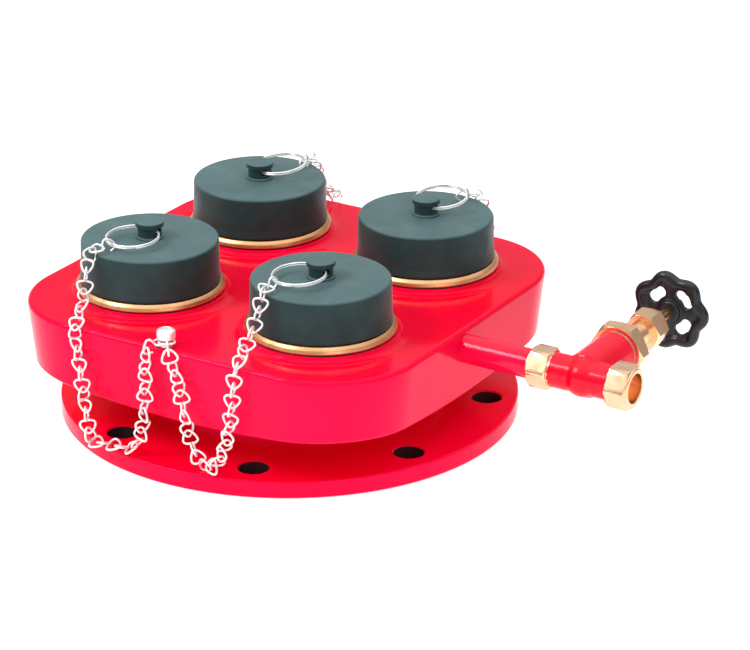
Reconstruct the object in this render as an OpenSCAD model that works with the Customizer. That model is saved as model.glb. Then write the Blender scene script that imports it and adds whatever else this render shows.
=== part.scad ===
// Four-way dry riser inlet with a flanged outlet, capped hose inlets and a side drain valve.
// The origin is the centre of the outlet at the flange's bottom face. +Z is up, the front faces -Y
// and the drain leaves along +X.

/* [Flange] */
// Outside diameter of the outlet flange
flange_d = 340; // [330:1:352]
// Thickness of the outlet flange
flange_t = 13; // [10:0.5:18]
// Distance of the bolt circle from the flange's edge
bolt_edge = 22.5; // [20:0.5:26]
// Diameter of each bolt hole
bolt_hole_d = 22; // [14:0.5:26]
// Number of bolt holes
bolt_count = 8; // [4:4:12]
// Bore of the outlet
outlet_d = 200; // [160:1:204]
// Wall of the neck between the flange and the body
neck_wall = 10; // [6:0.5:14]

/* [Body] */
// Width of the body across its flat sides, at the top
body_w = 314; // [306:1:330]
// Height of the body's top face above the flange's bottom face
body_top = 97; // [92:0.5:110]
// Corner radius of the body at the top
corner_r = 70; // [50:1:80]
// Draft angle of the side walls
draft = 5.7; // [2:0.1:7]
// Wall of the casting
wall = 8; // [6:0.5:10]
// Radius of the top edge
edge_r = 5; // [2:0.5:7]
// Height of the underside where it meets the middle of each side
underside_z = 42; // [36:0.5:48]
// Slope of the underside down to the neck
underside_slope = 12; // [6:0.5:14]

/* [Inlets] */
// Spacing of the inlets along each side
inlet_pitch = 146; // [140:1:152]
// Diameter of the raised seat around each inlet
seat_d = 112; // [110:1:118]
// Height of the raised seat
seat_h = 3.3; // [2:0.1:5]
// Thickness of the gasket under each adaptor
gasket_t = 1.5; // [1:0.1:3]
// Diameter of the adaptor's thread in the casting
thread_d = 88; // [84:1:92]
// Diameter of the adaptor's rim
rim_d = 108.4; // [104:0.1:110]
// Thickness of the adaptor's rim
rim_t = 5.6; // [4:0.1:7]
// Diameter of the waterway through the adaptor
waterway_d = 65; // [60:1:68]
// Outside diameter of the adaptor's hose end
hose_end_d = 82; // [78:1:84]
// Height of the hose end above the rim
hose_end_h = 22; // [18:0.5:26]
// Depth of the adaptor's thread below the gasket
thread_h = 25; // [20:0.5:28]

/* [Non-return valves] */
// Travel of the valve disc from shut to open
valve_travel = 9; // [6:0.5:10]
// Diameter of the valve disc
disc_d = 77; // [74:1:80]
// Thickness of the valve disc
disc_t = 4; // [3:0.5:6]
// Width of the rubber seal on the valve disc
seal_w = 9; // [7:0.5:10]
// Diameter of the valve's stem
guide_d = 8; // [6:0.5:10]
// Diameter of the valve spring over its wire
spring_d = 17; // [15:0.5:20]
// Wire of the valve spring
spring_wire = 1.4; // [1:0.1:1.6]

/* [Caps] */
// Diameter of each cap at its top
cap_d = 100; // [98:0.5:104]
// Height of each cap without its knob
cap_h = 31.4; // [28:0.1:34]
// How much each cap's radius grows down to its rim
cap_flare = 1.3; // [0:0.1:2]
// Inside diameter of the cap
cap_bore_d = 84; // [83.5:0.1:88]
// Thickness of the cap's top
cap_top_t = 7.5; // [5:0.5:8]
// Diameter of the knob's head
knob_d = 23.4; // [20:0.1:26]
// Height of the knob
knob_h = 12.8; // [11:0.1:14]
// Height of the hole through the knob
knob_hole_z = 6.2; // [5.5:0.1:7]
// Diameter of the hole through the knob
knob_hole_d = 6; // [5.6:0.1:6.4]

/* [Rings and chains] */
// Radius of the split ring to the middle of its wire
ring_r = 19; // [17:0.1:21]
// Thickness of one turn of the split ring
ring_wire = 1.4; // [1.2:0.1:1.6]
// Radius of a chain loop to the middle of its wire
loop_r = 4.7; // [4.5:0.05:5]
// Diameter of the chain wire
chain_wire = 1.9; // [1.6:0.1:2.1]
// Diameter of the screw that holds the chains
screw_d = 4.5; // [4:0.1:5]

/* [Drain] */
// Outside diameter of the drain pipe
pipe_d = 21.3; // [20:0.1:22]
// Bore of the drain pipe and of the valve
drain_bore_d = 16; // [12:0.5:17]
// Place of the drain pipe along the side, from its middle
drain_y = -14; // [-18:0.5:-6]
// Height of the drain pipe's axis
drain_z = 82.4; // [80:0.1:84]
// Distance of the valve's middle from the outlet's axis
valve_x = 252.5; // [246:0.5:270]
// Length of the valve between its ends
valve_len = 80; // [76:0.5:90]
// Width of the valve's hexagons across their flats
hex_af = 27; // [26:0.5:30]
// Angle of the valve's stem above the horizontal
stem_tilt = 1; // [0:0.5:20]
// Diameter of the valve's stem
stem_d = 8; // [7:0.5:9]
// Radius of the handwheel
wheel_r = 31; // [28:0.5:34]
// Number of lobes around the handwheel
wheel_lobes = 7; // [5:1:9]

/* [Hidden] */
// Clearance of a screwed or sliding fit, on the radius
fit = 0.05;
// Clearance of a loose fit, on the radius
loose = 0.3;
$fn = 96;
corner_names = ["front_left", "rear_right", "front_right", "rear_left"];
// Heights of the stack on each inlet
seat_z = body_top + seat_h;
rim_z = seat_z + gasket_t;
cap_z = rim_z + rim_t + 0.5;
cap_top = cap_z + cap_h;
hose_end_top = rim_z + rim_t + hose_end_h;
valve_seat_z = rim_z - thread_h;
ceiling_z = body_top - wall;
thread_wall = 8;
// Parts of the non-return valve
seal_t = 4;
seal_d = disc_d - 2;
seal_bore_d = seal_d - 2 * seal_w;
seal_z = valve_seat_z - loose - seal_t;
disc_z = seal_z - disc_t;
spider_t = 8;
spider_z = rim_z - 3;
spring_z = spider_z + spider_t;
spring_h = valve_travel + 7;
spring_turns = 4.5;
nut_z = spring_z + spring_h;
nut_t = 5;
nut_af = 15;
stem_top = nut_z + nut_t + 2;
// The knob's ring runs through the hole with the arc of its wire centred in the head
ring_t = 1.86 * ring_wire;
ring_offset = ring_r - 1.4;
ring_far_z = cap_top + chain_wire + ring_t / 2 + 0.9;
ring_tilt = asin((cap_top + knob_hole_z - ring_far_z) / (ring_offset + ring_r));
// Direction of the ring from the knob, for the left and the right cap of the front pair
ring_dirs = [[-0.17, -0.985], [-0.55, -0.835]];
// Chain: distances between the loops of one link and between linked loops
loop_step = loop_r * 2 - chain_wire / 2;
link_step = loop_r * 2 - chain_wire - 0.6;
// Shoulder screw that holds the two chains of one side, one above the other
screw_xy = [-9.5, 7 - body_w / 2];
screw_head = 1.7;
shoulder_h = 4.4;
level_step = chain_wire + 1.8;
screw_grip = chain_wire + level_step + 0.6;
// Directions in which the two chains leave the screw
screw_dirs = [[-0.82, -0.57], [0.82, -0.57]];
// Routes of the front chains, round numbers chosen by hand: the hanging part as [x, gap to the body's
// face, height], then the climb as [x from the inlet, gap to the cap's rim, height above its foot]
hang_left = [[-17.4, -1.4, 102.7], [-20, 4.5, 98], [-20.5, 6, 90], [-20, 5.5, 82], [-20, 5, 73],
    [-20.5, 5, 62], [-21.5, 5, 50], [-23.5, 5.5, 38], [-25, 6, 28], [-29, 6, 21], [-36, 5, 19.2],
    [-46, 3, 19.2], [-56, 0, 19.5], [-64, -1, 23], [-69, 1, 31], [-73, 3.5, 41], [-75.5, 5, 52],
    [-77.5, 5.5, 64], [-79, 5.5, 78], [-80, 5.5, 91], [-81.5, 3, 99], [-83, -4, 102.4]];
climb_left = [[-11.5, 20.5, -2.9], [-11.5, 14, 4.1], [-11, 9, 14.1], [-10.5, 7, 26.1], [-9, 4, 35.5],
    [-7.5, -4, 35.5]];
hang_right = [[-1.6, -1.4, 106.5], [3, 4, 102], [6, 6, 94], [8, 6, 85], [10, 5.5, 76], [11.5, 5, 66],
    [13, 5, 57], [15.5, 5, 48], [18, 4.5, 38], [20, 4, 29], [23, 3, 22], [27.5, 2.5, 19.4],
    [32.5, 2.5, 19.4], [37, 3, 22], [41.5, 4, 28], [46.5, 4.5, 37], [49.5, 5, 47], [52, 5.5, 58],
    [53, 5.5, 70], [54.5, 5.5, 82], [55.5, 5.5, 92], [55.5, 3, 99.5], [55, -4, 102.4]];
climb_right = [[-18.5, 20.5, -2.9], [-19, 14, 3.1], [-19, 9, 10.1], [-18.5, 6.5, 18.6], [-19, 5.5, 27.1],
    [-21, 2, 36.1], [-23, -8, 36.1]];
// Drain valve, measured along its stem from the pipe's axis
pipe_in_x = 133;
socket_depth = 13;
hex_t = 16;
barrel_d = 25;
neck_d = 33;
neck_l = 46;
collar_t = 12;
collar_af = 38;
barrel_end = 98;
gland_t = 16;
packing_depth = 8;
wheel_z = 130;
hub_t = 11;
gate_t = 7;
gate_r = drain_bore_d / 2 + 2.5;
gate_top = 22;
gate_travel = gate_r + drain_bore_d / 2 + 0.5;
gate_room = norm([gate_r, gate_t / 2]) + loose;
wheel_windows = 4;

function unit(v) = v / norm(v);

// Puts a front piece at the front, or turned half round at the rear
module on_side(rear) rotate([0, 0, rear ? 180 : 0]) children();

// Puts a piece that is centred on its inlet at one of the four inlets
function inlet_xy(i) = [(i < 2 ? -1 : 1) * inlet_pitch / 2, -inlet_pitch / 2];
module at_inlet(i) on_side(i % 2 == 1) translate(inlet_xy(i)) children();

// Puts a piece drawn along +Z on the axis of the drain valve's stem
module on_stem() translate([valve_x, drain_y, drain_z]) rotate([stem_tilt - 90, 0, 0]) children();

// Puts a piece drawn along +Z on the drain pipe's axis
module on_pipe(x) translate([x, drain_y, drain_z]) rotate([0, 90, 0]) children();

// A rounded square of four corner discs that shrinks with the draft, for hull()
module draft_layer(half, r, z, inset) {
    for (sx = [-1, 1], sy = [-1, 1])
        translate([sx * (half - r), sy * (half - r), z]) cylinder(h = 0.01, r = r - inset, $fn = 64);
}

// The region above a shallow cone that opens upwards
module above_cone(z_mid, top) {
    slope = tan(underside_slope);
    mid = body_w / 2;
    reach = body_w;
    rotate_extrude()
        polygon([[0, z_mid - mid * slope], [reach, z_mid + (reach - mid) * slope], [reach, top], [0, top]]);
}

module body_outside() {
    intersection() {
        hull() {
            draft_layer(body_w / 2, corner_r, 0, (body_top - edge_r) * tan(draft));
            draft_layer(body_w / 2, corner_r, body_top - edge_r, 0);
            for (a = [30, 60, 90])
                draft_layer(body_w / 2, corner_r, body_top - edge_r * (1 - sin(a)) - 0.01,
                            edge_r * (1 - cos(a)));
        }
        above_cone(underside_z, body_top + 10);
    }
}

module body_cavity() {
    half = body_w / 2 - wall;
    r = corner_r - wall;
    intersection() {
        hull() {
            draft_layer(half, r, 0, ceiling_z * tan(draft));
            draft_layer(half, r, ceiling_z - 0.01, 0);
        }
        above_cone(underside_z + wall, ceiling_z);
    }
}

// The raised seat of one inlet, with a cove where it meets the top face
module inlet_seat() {
    r = seat_d / 2;
    rotate_extrude() difference() {
        translate([0, body_top - 1]) square([r + seat_h, seat_h + 1]);
        translate([r + seat_h, seat_z]) circle(seat_h, $fn = 64);
    }
}

module manifold_body() {
    cone_low = underside_z - (body_w / 2 - outlet_d / 2 - neck_wall) * tan(underside_slope);
    color("crimson") difference() {
        union() {
            cylinder(h = flange_t, d = flange_d, $fn = 180);
            cylinder(h = cone_low + wall, d = outlet_d + 2 * neck_wall);
            difference() {
                body_outside();
                difference() {
                    body_cavity();
                    for (i = [0 : 3]) at_inlet(i)
                        translate([0, 0, valve_seat_z + 1]) cylinder(h = 40, d = thread_d + 2 * thread_wall);
                    on_pipe(pipe_in_x) cylinder(h = 30, d = pipe_d + 14);
                    for (rear = [false, true]) on_side(rear)
                        translate([screw_xy.x, screw_xy.y, ceiling_z - 6]) cylinder(h = 20, d = 16);
                }
            }
            for (i = [0 : 3]) at_inlet(i) inlet_seat();
        }
        translate([0, 0, -1]) cylinder(h = underside_z + wall, d = outlet_d, $fn = 180);
        for (i = [0 : bolt_count - 1]) rotate([0, 0, (i + 0.5) * 360 / bolt_count])
            translate([flange_d / 2 - bolt_edge, 0, -1]) cylinder(h = flange_t + 2, d = bolt_hole_d);
        for (i = [0 : 3]) at_inlet(i)
            translate([0, 0, underside_z + wall]) cylinder(h = 70, d = thread_d);
        on_pipe(pipe_in_x - 6) cylinder(h = 60, d = pipe_d + 2 * fit);
        for (rear = [false, true]) on_side(rear)
            translate([screw_xy.x, screw_xy.y, body_top - 12]) cylinder(h = 20, d = screw_d + 2 * fit);
    }
}

module inlet_gasket() {
    color("dimgray") translate([0, 0, seat_z]) difference() {
        cylinder(h = gasket_t, d = rim_d - 1);
        translate([0, 0, -1]) cylinder(h = gasket_t + 2, d = thread_d);
    }
}

// Turned gunmetal adaptor: thread, rim, hose end with its latch groove, and a spider that guides the valve
module inlet_adaptor() {
    thread_r = thread_d / 2 - fit;
    rim_r = rim_d / 2;
    bead = rim_t / 2;
    hose_r = hose_end_d / 2;
    bore_r = waterway_d / 2;
    groove_z = hose_end_top - 9;
    color("goldenrod") union() {
        rotate_extrude(convexity = 6) difference() {
            union() {
                translate([bore_r, valve_seat_z]) square([thread_r - bore_r, thread_h]);
                translate([bore_r, rim_z]) square([rim_r - bead - bore_r, rim_t]);
                translate([rim_r - bead, rim_z + bead]) circle(bead, $fn = 48);
                translate([bore_r, rim_z]) square([hose_r - bore_r, hose_end_h + rim_t]);
            }
            translate([hose_r - 2.5, groove_z]) square([5, 5]);
            translate([bore_r - 1, hose_end_top - 1.5]) square([2.5, 3]);
        }
        difference() {
            union() {
                translate([0, 0, spider_z]) cylinder(h = spider_t, d = guide_d + 8);
                for (a = [90, 210, 330]) rotate([0, 0, a])
                    translate([guide_d / 2 + 2, -2, spider_z]) cube([bore_r - guide_d / 2 - 1, 4, spider_t]);
            }
            translate([0, 0, spider_z - 1]) cylinder(h = spider_t + 2, d = guide_d + 2 * fit);
        }
    }
}

// Turned brass disc with its stem, one piece
module valve_disc() {
    color("peru") rotate_extrude() polygon([[0, disc_z - 3], [10, disc_z - 3], [14, disc_z],
        [disc_d / 2, disc_z], [disc_d / 2, seal_z], [seal_bore_d / 2, seal_z],
        [seal_bore_d / 2, seal_z + 2], [9, seal_z + 2], [guide_d / 2, seal_z + 8],
        [guide_d / 2, stem_top - 1], [guide_d / 2 - 1, stem_top], [0, stem_top]]);
}

module valve_seal() {
    color("black") translate([0, 0, seal_z]) difference() {
        cylinder(h = seal_t, d = seal_d);
        translate([0, 0, -1]) cylinder(h = seal_t + 2, d = seal_bore_d + 2 * fit);
    }
}

// A round wire along a helix, as a swept polygon
module valve_spring() {
    sides = 6;
    steps = round(spring_turns * 14);
    rise = spring_h - spring_wire - 0.1;
    coil_r = (spring_d - spring_wire) / 2;
    points = [for (i = [0 : steps], k = [0 : sides - 1])
        let (a = 360 * spring_turns * i / steps, b = 360 * k / sides, r = coil_r + spring_wire / 2 * cos(b))
        [r * cos(a), r * sin(a), spring_wire / 2 + rise * i / steps + spring_wire / 2 * sin(b)]];
    walls = [for (i = [0 : steps - 1], k = [0 : sides - 1])
        let (n = (k + 1) % sides)
        [i * sides + k, i * sides + n, (i + 1) * sides + n, (i + 1) * sides + k]];
    color("silver") translate([0, 0, spring_z + 0.05])
        polyhedron(points, concat([[for (k = [sides - 1 : -1 : 0]) k]], walls,
                                  [[for (k = [0 : sides - 1]) steps * sides + k]]));
}

module valve_nut() {
    color("peru") translate([0, 0, nut_z]) difference() {
        union() {
            cylinder(h = 1.5, d = spring_d);
            translate([0, 0, 1.5]) cylinder(h = nut_t - 1.5, d = nut_af / cos(30), $fn = 6);
        }
        translate([0, 0, -1]) cylinder(h = nut_t + 2, d = guide_d + 2 * fit);
    }
}

// Moulded cap: flared skirt with an inner bead that snaps into the adaptor's groove, and a drilled knob
module cap(dir) {
    r = cap_d / 2;
    inner_r = cap_bore_d / 2;
    soft = 2;
    groove_z = hose_end_top - 9 - cap_z;
    color("darkslategray") translate([0, 0, cap_z]) difference() {
        union() {
            rotate_extrude(convexity = 6) difference() {
                union() {
                    polygon([[0, 0], [r + cap_flare, 0], [r + cap_flare, 1], [r, cap_h - soft],
                             [r - soft, cap_h], [0, cap_h]]);
                    translate([r - soft, cap_h - soft]) circle(soft, $fn = 48);
                }
                translate([-1, -1]) square([inner_r + 1, cap_h - cap_top_t + 1]);
            }
            translate([0, 0, cap_h]) knob();
        }
        translate([0, 0, cap_h + knob_hole_z]) rotate([0, 0, atan2(dir.y, dir.x)])
            rotate([90, 0, 0]) cylinder(h = 40, d = knob_hole_d, center = true);
    }
}

module knob() {
    r = knob_d / 2;
    neck_r = r - 2.8;
    rotate_extrude() polygon([[0, -1], [neck_r + 1.6, -1], [neck_r + 1.6, 0.5], [neck_r, 1.8],
        [neck_r, knob_h - 3.4], [r, knob_h - 2], [r, knob_h - 0.8], [r - 0.8, knob_h], [0, knob_h]]);
}

// Split ring: two turns pressed together, threaded through the knob and leaning on the cap
module split_ring(dir) {
    turn_r = ring_wire / 2;
    color("silver") translate([0, 0, cap_top + knob_hole_z]) rotate([0, 0, atan2(dir.y, dir.x)])
        rotate([0, ring_tilt, 0]) translate([ring_offset, 0, 0]) rotate_extrude() translate([ring_r, 0]) {
            for (s = [-1, 1]) translate([0, s * turn_r * 0.86]) circle(turn_r, $fn = 32);
        }
}

// Chain: where the loops stand along a route, and a frame for each, which lies flat at a chain's ends
// and leans out from the casting between them
function lengths(p, i = 0, sum = 0) = i == len(p) - 1 ? [sum]
    : concat([sum], lengths(p, i + 1, sum + norm(p[i + 1] - p[i])));
function along(p, at, s) = [for (k = [0 : 2]) lookup(s, [for (i = [0 : len(p) - 1]) [at[i], p[i][k]]])];
function frame_at(places, i, lean) =
    let (t = unit(places[min(i + 1, len(places) - 1)] - places[max(i - 1, 0)]))
    [places[i], t, unit(cross(t, [0, -lean, 1]))];

// One wire loop whose plane holds the chain's direction
module chain_loop(frame, roll) {
    t = frame[1];
    u = frame[2] * cos(roll) + cross(t, frame[2]) * sin(roll);
    n = cross(t, u);
    multmatrix([[t.x, u.x, n.x, frame[0].x], [t.y, u.y, n.y, frame[0].y], [t.z, u.z, n.z, frame[0].z],
                [0, 0, 0, 1]])
        rotate_extrude($fn = 32) translate([loop_r, 0]) circle(chain_wire / 2, $fn = 16);
}

// A chain's whole route: it hangs in front of the body, then climbs over the cap
function route(hang, climb, i) = let (c = inlet_xy(i)) concat(
    [for (p = hang) [p.x, -body_w / 2 - p.y, p.z]],
    [for (p = climb) [c.x + p.x, c.y - cap_d / 2 - p.y, cap_z + p.z]]);

// Jack chain: pairs of loops at right angles, each pair joined at its waist
module chain(route, start, end) {
    path = concat([start], route, [end]);
    at = lengths(path);
    total = at[len(at) - 1];
    pair = loop_step + link_step;
    count = 2 * ceil((total + link_step) / pair);
    squeeze = total / (pair * count / 2 - link_step);
    places = [for (i = [0 : count - 1])
        along(path, at, squeeze * (floor(i / 2) * pair + (i % 2) * loop_step))];
    color("gainsboro") for (i = [0 : count - 1]) {
        lean = min(i, count - 1 - i, 4) / 4;
        chain_loop(frame_at(places, i, lean), (i % 2 == 0 ? 0 : 90) + 45 * lean);
    }
}

// The ends of a chain on its screw and on its ring
function on_screw(level) = let (lean = loop_r - chain_wire / 2 - screw_d / 2 - 0.15, d = screw_dirs[level])
    [screw_xy.x + d.x * lean, screw_xy.y + d.y * lean,
     body_top + shoulder_h + chain_wire / 2 + 0.3 + level * level_step];
function on_ring(i) = let (c = inlet_xy(i), d = unit(ring_dirs[i / 2]), reach = ring_offset + ring_r + 1.5)
    [c.x + d.x * reach, c.y + d.y * reach, cap_top + loop_r + chain_wire / 2 + 0.3];

// Socket-head shoulder screw, with room for two chain loops under its head
module chain_screw() {
    grip_z = body_top + shoulder_h;
    color("gainsboro") translate([screw_xy.x, screw_xy.y, 0]) {
        translate([0, 0, body_top - 11]) cylinder(h = shoulder_h + screw_grip + 12, d = screw_d);
        translate([0, 0, body_top]) cylinder(h = shoulder_h, d = screw_d + 3);
        translate([0, 0, grip_z + screw_grip]) difference() {
            cylinder(h = 3.5, d = screw_d * screw_head);
            translate([0, 0, 1.5]) cylinder(h = 4, d = screw_d * 0.8, $fn = 6);
        }
    }
}

module drain_pipe() {
    length = valve_x - valve_len / 2 + socket_depth - 0.5 - pipe_in_x;
    color("crimson") on_pipe(pipe_in_x) difference() {
        cylinder(h = length, d = pipe_d);
        translate([0, 0, -1]) cylinder(h = length + 2, d = drain_bore_d);
    }
}

// A hexagon with turned-off corners, along +Z
module hexagon(af, t, chamfer = 1.2) {
    r = af / 2;
    intersection() {
        cylinder(h = t, d = af / cos(30), $fn = 6);
        rotate_extrude() polygon([[0, 0], [r, 0], [r + chamfer * 1.7, chamfer], [r + chamfer * 1.7, t - chamfer],
                                  [r, t], [0, t]]);
    }
}

// Cast gate valve body: two hexagon ends, a round barrel and the neck for the bonnet
module drain_valve_body() {
    half = valve_len / 2;
    color("crimson") difference() {
        union() {
            on_pipe(valve_x - half) hexagon(hex_af, hex_t);
            on_pipe(valve_x + half - hex_t - 2) hexagon(hex_af + 2, hex_t + 1);
            on_pipe(valve_x + half - 4) cylinder(h = 4, d = hex_af + 1.5);
            on_pipe(valve_x - half + hex_t / 2) cylinder(h = valve_len - hex_t, d = barrel_d);
            translate([valve_x, drain_y, drain_z]) sphere(d = barrel_d + 4);
            on_stem() cylinder(h = neck_l, d = neck_d);
        }
        on_pipe(valve_x - half - 1) cylinder(h = valve_len + 2, d = drain_bore_d);
        on_pipe(valve_x - half - 1) cylinder(h = socket_depth + 1, d = pipe_d + 2 * fit);
        on_pipe(valve_x + half - socket_depth) cylinder(h = socket_depth + 1, d = pipe_d);
        on_stem() cylinder(h = neck_l + 1, r = gate_room);
        // The slot that the shut gate drops into
        on_pipe(valve_x - gate_t / 2 - loose) cylinder(h = gate_t + 2 * loose, r = gate_r + loose);
    }
}

module drain_bonnet_gasket() {
    color("dimgray") on_stem() translate([0, 0, neck_l]) difference() {
        cylinder(h = 1, d = neck_d - 1);
        translate([0, 0, -1]) cylinder(h = 3, r = gate_room);
    }
}

// Turned brass bonnet: hexagon collar, barrel, stuffing box and the seat of the stem's collar
module drain_bonnet() {
    z = neck_l + 1;
    stem_r = stem_d / 2;
    color("burlywood") on_stem() difference() {
        union() {
            translate([0, 0, z]) hexagon(collar_af, collar_t, 1.6);
            translate([0, 0, z + collar_t]) cylinder(h = collar_t / 2, d1 = collar_af * 0.85, d2 = stem_d * 2.6);
            translate([0, 0, z + collar_t]) cylinder(h = barrel_end - z - collar_t, d = stem_d * 2.3);
        }
        translate([0, 0, z - 1]) cylinder(h = collar_t + 1, r = gate_room);
        translate([0, 0, z - 1]) cylinder(h = barrel_end, r = stem_r + fit);
        translate([0, 0, barrel_end - packing_depth]) cylinder(h = packing_depth + 1, r = stem_r + 3);
    }
}

module drain_gland_packing() {
    color("dimgray") on_stem() translate([0, 0, barrel_end - packing_depth]) difference() {
        cylinder(h = packing_depth - 1, r = stem_d / 2 + 3 - fit);
        translate([0, 0, -1]) cylinder(h = packing_depth + 1, r = stem_d / 2 + fit);
    }
}

module drain_gland_nut() {
    z = barrel_end - gland_t + 6;
    color("peru") on_stem() difference() {
        translate([0, 0, z]) hexagon(stem_d * 3.2, gland_t, 1.4);
        translate([0, 0, z - 1]) cylinder(h = barrel_end - z + 1.5, d = stem_d * 2.3 + 2 * fit);
        translate([0, 0, z]) cylinder(h = 40, r = stem_d / 2 + fit);
    }
}

// Brass stem that turns in place; its collar is held under the bonnet's barrel
module drain_stem() {
    r = stem_d / 2;
    collar_z = neck_l + 1 + collar_t;
    start = gate_travel - gate_r + 2.5;
    color("peru") on_stem() rotate_extrude() polygon([[0, start], [r, start], [r, collar_z - 3.5],
        [r + 3, collar_z - 3.5], [r + 3, collar_z - 0.3], [r, collar_z - 0.3], [r, wheel_z + hub_t - 1],
        [r - 1.5, wheel_z + hub_t], [r - 1.5, wheel_z + hub_t + 7], [0, wheel_z + hub_t + 7]]);
}

// Gate that climbs the stem's thread when the stem turns
module drain_gate() {
    color("burlywood") on_stem() difference() {
        union() {
            translate([-gate_t / 2, 0, 0]) rotate([0, 90, 0]) cylinder(h = gate_t, r = gate_r);
            translate([-gate_t / 2, -gate_r + 2.5, 0]) cube([gate_t, 2 * gate_r - 5, gate_r]);
            cylinder(h = gate_top, d = stem_d + 5);
        }
        translate([0, 0, 2 - gate_r]) cylinder(h = gate_top + gate_r, r = stem_d / 2 + fit);
    }
}

// Handwheel: hub, dished web with windows, and a lobed rim
module drain_handwheel() {
    rim = 7.5;
    web_t = 4;
    color("black") on_stem() translate([0, 0, wheel_z]) difference() {
        union() {
            cylinder(h = hub_t, d = stem_d * 2.2);
            translate([0, 0, 2]) linear_extrude(web_t) difference() {
                circle(wheel_r - 3);
                for (i = [0 : wheel_windows - 1]) rotate([0, 0, i * 360 / wheel_windows])
                    translate([wheel_r * 0.52, 0]) circle(4.2, $fn = 32);
            }
            linear_extrude(8) difference() {
                circle(wheel_r);
                circle(wheel_r - rim);
                for (i = [0 : wheel_lobes - 1]) rotate([0, 0, (i + 0.5) * 360 / wheel_lobes])
                    translate([wheel_r + 5.5, 0]) circle(8, $fn = 48);
            }
        }
        translate([0, 0, -1]) cylinder(h = hub_t + 2, r = stem_d / 2 + fit);
    }
}

module drain_wheel_nut() {
    color("peru") on_stem() translate([0, 0, wheel_z + hub_t]) difference() {
        hexagon(11, 5, 0.8);
        translate([0, 0, -1]) cylinder(h = 8, r = stem_d / 2 - 1.5 + fit);
    }
}

manifold_body();
for (i = [0 : 3]) {
    name = corner_names[i];
    dir = unit(ring_dirs[floor(i / 2)]);
    at_inlet(i) inlet_gasket();
    at_inlet(i) inlet_adaptor();
    at_inlet(i) valve_disc();
    at_inlet(i) valve_seal();
    at_inlet(i) valve_spring();
    at_inlet(i) valve_nut();
    at_inlet(i) cap(dir);
    at_inlet(i) split_ring(dir);
    on_side(i % 2 == 1)
        chain(i < 2 ? route(hang_left, climb_left, 0) : route(hang_right, climb_right, 2),
              on_screw(i < 2 ? 0 : 1), on_ring(i - i % 2));
}
on_side(false) chain_screw();  // chain_screw_front
on_side(true) chain_screw();  // chain_screw_rear
drain_pipe();
drain_valve_body();
drain_bonnet();
drain_bonnet_gasket();
drain_gland_packing();
drain_gland_nut();
drain_stem();
drain_gate();
drain_handwheel();
drain_wheel_nut();
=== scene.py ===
"""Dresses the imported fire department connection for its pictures.

The casting, caps, rings, chains and valve get smooth meshes and procedural materials here.
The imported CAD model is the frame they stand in. Lengths are in millimetres until a mesh is
made, and the frame's origin is the outlet's centre at the flange's underside, with +Z up.
"""

import math
import random

import bmesh
import bpy
import numpy as np
from mathutils import Matrix, Quaternion, Vector


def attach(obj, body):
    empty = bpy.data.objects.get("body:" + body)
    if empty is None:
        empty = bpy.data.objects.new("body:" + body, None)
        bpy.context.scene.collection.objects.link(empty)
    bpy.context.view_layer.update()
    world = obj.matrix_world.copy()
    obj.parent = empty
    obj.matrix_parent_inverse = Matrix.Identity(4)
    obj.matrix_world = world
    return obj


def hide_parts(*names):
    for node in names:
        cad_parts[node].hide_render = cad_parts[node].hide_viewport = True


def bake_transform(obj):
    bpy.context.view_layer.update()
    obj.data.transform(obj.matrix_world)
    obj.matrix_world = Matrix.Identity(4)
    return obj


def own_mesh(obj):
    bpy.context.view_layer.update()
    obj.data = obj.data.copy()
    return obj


MM = 0.001

# Flange and casting, as in the part's source
FLANGE_D, FLANGE_T, FLANGE_FILLET = 340, 13, 7
BOLT_CIRCLE_D, BOLT_HOLE_D, BOLT_COUNT = 295, 22, 8
OUTLET_D, NECK_WALL, NECK_FILLET = 200, 10, 8
BODY_W, BODY_TOP, CORNER_R = 314, 97, 70
DRAFT, UNDERSIDE_SLOPE = math.tan(math.radians(5.7)), math.tan(math.radians(12))
WALL, EDGE_R, UNDERSIDE_Z = 8, 3.5, 42
# Inlets
INLETS = {"front_left": (-73, -73), "rear_right": (73, 73), "front_right": (73, -73), "rear_left": (-73, 73)}
SEAT_R, SEAT_Z, SEAT_COVE = 56, 101, 8
RIM_Z, RIM_T, RIM_R = 101.8, 5.6, 54.6
THREAD_D, THREAD_WALL, THREAD_Z = 88, 8, 76.8
SPIDER_Z, SPRING_FOOT_Z, GUIDE_R = 98.8, 106.8, 4.05
BORE_R, HOSE_R, HOSE_TOP = 32.5, 41, 129.4
CAP_Z, CAP_H, CAP_R, CAP_FLARE, CAP_BORE_R, CAP_TOP_T = 107.9, 31.4, 50, 1.3, 42, 7.5
CAP_TOP = CAP_Z + CAP_H
KNOB_R, KNOB_NECK_R, KNOB_H, KNOB_HOLE_Z, KNOB_HOLE_R = 10.6, 8.8, 12.8, 6.2, 3
# Split rings and chains
RING_R, RING_WIRE, RING_OFFSET = 19, 1.4, 17.6
RING_DIRS = {"front_left": (-0.17, -0.985), "front_right": (-0.48, -0.877),
             "rear_right": (0.17, 0.985), "rear_left": (0.55, 0.835)}
CHAIN_WIRE_R, LINK_W, LINK_H, LINK_STEP, LINK_GAP = 0.85, 11, 9.8, 8.6, 6.6
SCREW = (-6.6, -150)
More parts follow.
